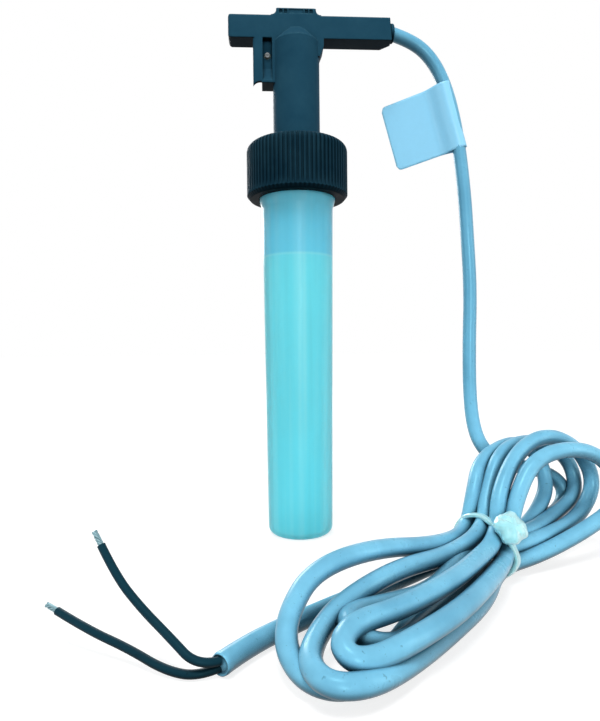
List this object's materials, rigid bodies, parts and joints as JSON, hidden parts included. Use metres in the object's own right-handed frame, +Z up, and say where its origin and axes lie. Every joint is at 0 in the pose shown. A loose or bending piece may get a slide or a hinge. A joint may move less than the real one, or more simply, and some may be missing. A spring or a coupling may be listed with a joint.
{
  "type": "paddle flow detector",
  "caption": "Black T-shaped paddle flow detector in a pale translucent sleeve, held by a ribbed union nut, with a two-core cable tied in a hank.",
  "frame": {"origin": "middle of the sleeve's closed end, which stands on the surface", "axes": "+Z up the sleeve's and stem's axis, +X along the bar towards the cable's exit, -Y the front with the adjusting pocket"},
  "size_m": [0.1821, 0.1345, 0.2072],
  "materials": {
    "clear_sleeve": "translucent moulded plastic, satin",
    "black_plastic": "fine matte moulded",
    "rubber_seal": "plain",
    "steel": "bright stainless",
    "reed_glass": "clear",
    "brass_insert": "turned",
    "cable_jacket": "soft satin PVC",
    "core_jacket": "satin PVC",
    "tinned_copper": "tinned strands",
    "clear_tie": "translucent soft plastic",
    "label_film": "satin film"
  },
  "bodies": {
    "sleeve": {"protective_sleeve": "clear_sleeve"},
    "head": {"switch_housing": "black_plastic", "flat_gasket": "rubber_seal", "pivot_pin": "steel", "reed_capsule": "reed_glass", "reed_leads": "steel", "potting_plug": "black_plastic", "threaded_insert": "brass_insert", "cable_collar": "black_plastic", "cable_drop": "cable_jacket", "cable_coil": "cable_jacket", "cable_tail": "cable_jacket", "core_1": "core_jacket", "core_2": "core_jacket", "core_tip_1": "tinned_copper", "core_tip_2": "tinned_copper", "cable_tie": "clear_tie", "cable_label": "label_film"},
    "ring": {"slip_ring": "black_plastic"},
    "nut": {"union_nut": "black_plastic"},
    "paddle": {"paddle_lever": "black_plastic", "lever_magnet": "steel", "paddle_blade": "steel", "blade_rivets": "steel"},
    "screw": {"adjusting_screw": "steel"}
  },
  "joints": [
    {"name": "sleeve_pull", "type": "slide", "parent": "sleeve", "child": "head", "axis": [0, 0, 1], "range_m": [0, 0.15]},
    {"name": "nut_slide", "type": "slide", "parent": "head", "child": "ring", "axis": [0, 0, 1], "range_m": [0, 0.022]},
    {"name": "nut_spin", "type": "hinge", "parent": "ring", "child": "nut", "pos_m": [0, 0, 0.14365], "axis": [0, 0, 1], "continuous": true},
    {"name": "paddle_swing", "type": "hinge", "parent": "head", "child": "paddle", "pos_m": [0, 0, 0.134], "axis": [1, 0, 0], "range_deg": [0, 4]},
    {"name": "adjuster_turn", "type": "hinge", "parent": "head", "child": "screw", "pos_m": [-0.01135, -0.001, 0.1896], "axis": [0, -1, 0], "continuous": true}
  ]
}
